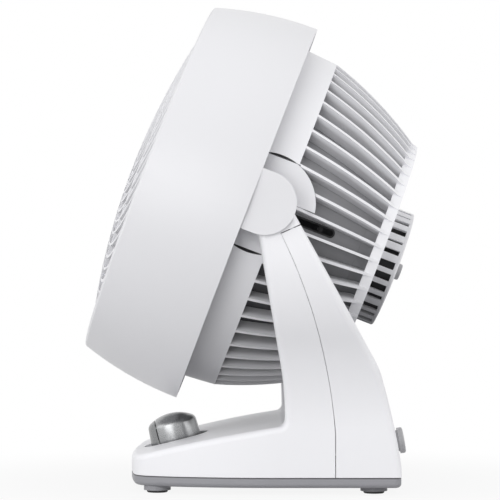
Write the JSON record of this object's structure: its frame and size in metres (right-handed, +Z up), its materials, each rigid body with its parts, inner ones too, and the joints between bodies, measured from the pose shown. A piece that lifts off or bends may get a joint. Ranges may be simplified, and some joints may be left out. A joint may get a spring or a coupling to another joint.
{
  "type": "air circulator fan",
  "caption": "Table air circulator: a ducted fan head with slotted rear grille tilts between the two arms of a hollow moulded stand with a rotary speed knob.",
  "frame": {"origin": "on the floor under the tilt axis, in the middle of the stand's width", "axes": "+Z up, -Y towards the front where the air comes out, +X the side of the cable slot"},
  "size_m": [0.2868, 0.241, 0.3462],
  "materials": {
    "shell_white": "satin moulded plastic",
    "ring_white": "satin moulded plastic",
    "grille_white": "satin moulded plastic",
    "duct_grey": "satin moulded plastic in shade grey",
    "plate_grey": "fine textured plastic",
    "fan_grey": "smooth moulded plastic",
    "rubber_black": "matt rubber",
    "lead_black": "smooth sleeve",
    "knob_silver": "satin silver paint",
    "pointer_silver": "bright satin silver",
    "steel": "zinc plated steel",
    "washer_plastic": "natural acetal",
    "nut_brass": "plain machined brass",
    "housing_metal": "dark grey paint",
    "stator_steel": "varnished laminations",
    "winding_copper": "enamelled copper wire",
    "part_black": "plain black plastic",
    "board_green": "coated glass-fibre board"
  },
  "bodies": {
    "base": {"base_shell": "shell_white", "rear_cover": "shell_white", "base_plate": "plate_grey", "foot_pads": "rubber_black", "plate_screws": "steel", "arm_bush_left": "washer_plastic", "arm_bush_right": "washer_plastic", "cord_inlet": "shell_white", "inlet_nut": "part_black", "speed_switch": "part_black", "switch_nut": "nut_brass", "power_board": "board_green", "board_screws": "steel", "terminal_block": "part_black", "capacitor": "part_black", "base_lead": "lead_black", "lead_clamp": "part_black", "clamp_screws": "steel", "switch_lead": "lead_black", "arm_lead": "lead_black"},
    "head": {"front_ring": "ring_white", "front_grille": "grille_white", "duct": "duct_grey", "cable_grommet": "rubber_black", "rear_grille": "grille_white", "motor_cover": "grille_white", "motor_cap": "grille_white", "rear_housing": "housing_metal", "front_housing": "housing_metal", "rear_bearing": "nut_brass", "front_bearing": "nut_brass", "stator": "stator_steel", "windings": "winding_copper", "head_lead": "lead_black", "head_screws": "steel", "pivot_pin_left": "steel", "pivot_pin_right": "steel", "inner_washers": "washer_plastic", "outer_washers": "washer_plastic"},
    "fan": {"impeller": "fan_grey", "motor_shaft": "steel", "rotor": "steel", "fan_nut": "fan_grey"},
    "knob": {"knob": "knob_silver", "knob_pointer": "pointer_silver", "switch_spindle": "steel"}
  },
  "joints": [
    {"name": "head_tilt", "type": "hinge", "parent": "base", "child": "head", "pos_m": [0, 0, 0.2018], "axis": [-1, 0, 0], "range_deg": [-21, 69]},
    {"name": "fan_spin", "type": "hinge", "parent": "head", "child": "fan", "pos_m": [0, -0.0122, 0.19652], "axis": [0, -0.9336, 0.3584], "continuous": true},
    {"name": "knob_turn", "type": "hinge", "parent": "base", "child": "knob", "pos_m": [0, -0.064, 0.03258], "axis": [0, -0.2419, 0.9703], "range_deg": [-180, 0]}
  ]
}
